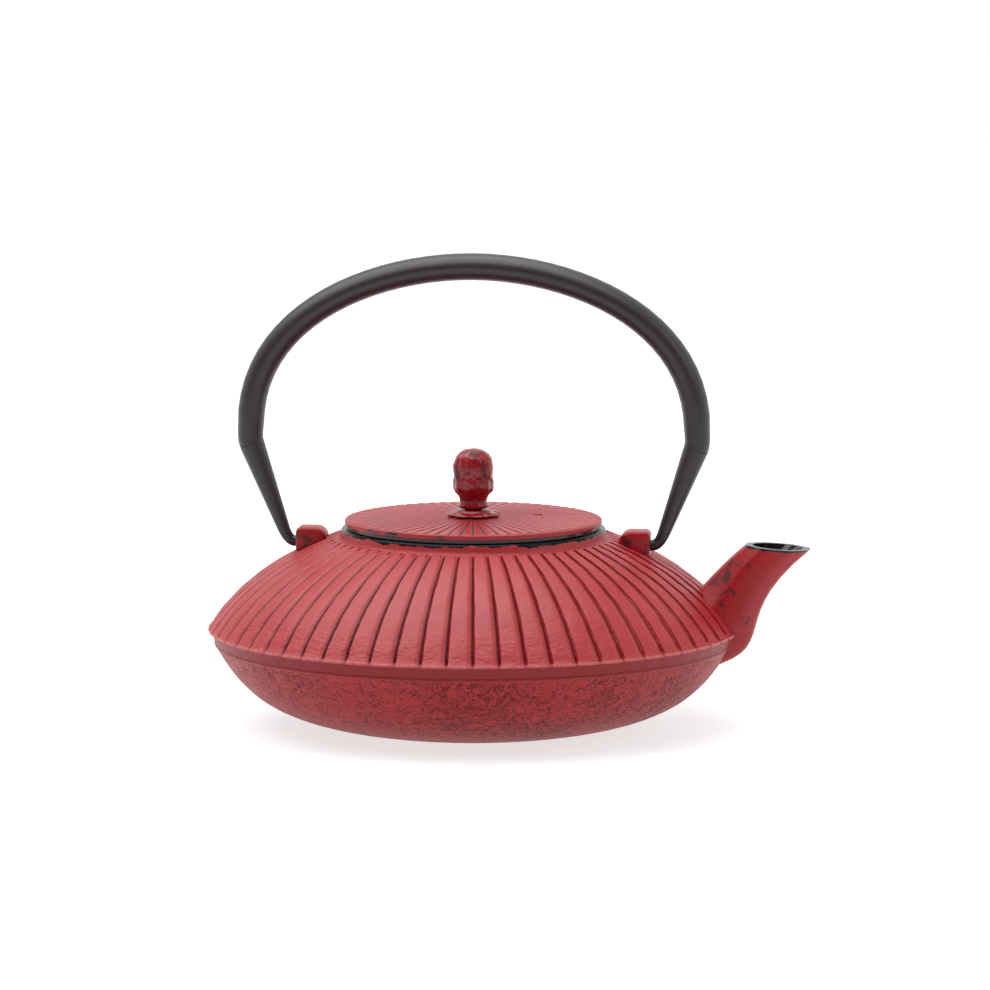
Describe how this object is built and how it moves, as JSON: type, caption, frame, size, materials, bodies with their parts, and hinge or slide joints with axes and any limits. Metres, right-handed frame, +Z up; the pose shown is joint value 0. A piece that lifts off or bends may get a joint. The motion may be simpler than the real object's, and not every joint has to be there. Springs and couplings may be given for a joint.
{
  "type": "teapot",
  "caption": "Flat cast iron teapot with a ribbed shoulder, short spout, disc lid with bud knob, overhead bail handle and a lift-out infuser.",
  "frame": {"origin": "middle of the pot's flat foot, on the table", "axes": "+Z up, +X towards the spout, and the handle swings about a line along X towards +Y and -Y"},
  "size_m": [0.1894, 0.1656, 0.1479],
  "materials": {
    "red_cast_iron": "matt red paint rubbed through to dark brown on the high and low spots",
    "black_steel": "satin charcoal lacquer",
    "stainless_steel": "bright rolled sheet"
  },
  "bodies": {
    "pot": {"pot_body": "red_cast_iron"},
    "handle": {"handle_arch": "black_steel", "handle_leg_spout": "black_steel", "handle_leg_rear": "black_steel"},
    "infuser": {"infuser_rim": "stainless_steel", "infuser_wall": "stainless_steel", "infuser_base": "stainless_steel", "infuser_base_ring": "stainless_steel"},
    "lid": {"lid": "red_cast_iron", "lid_knob": "red_cast_iron", "knob_rosette": "red_cast_iron", "knob_washer": "stainless_steel", "knob_nut": "stainless_steel"}
  },
  "joints": [
    {"name": "handle_swing", "type": "hinge", "parent": "pot", "child": "handle", "pos_m": [0, 0, 0.05712], "axis": [1, 0, 0], "range_deg": [-100, 100]},
    {"name": "infuser_lift", "type": "slide", "parent": "pot", "child": "infuser", "axis": [0, 0, 1], "range_m": [0, 0.05]},
    {"name": "lid_lift", "type": "slide", "parent": "infuser", "child": "lid", "axis": [0, 0, 1], "range_m": [0, 0.05]}
  ]
}
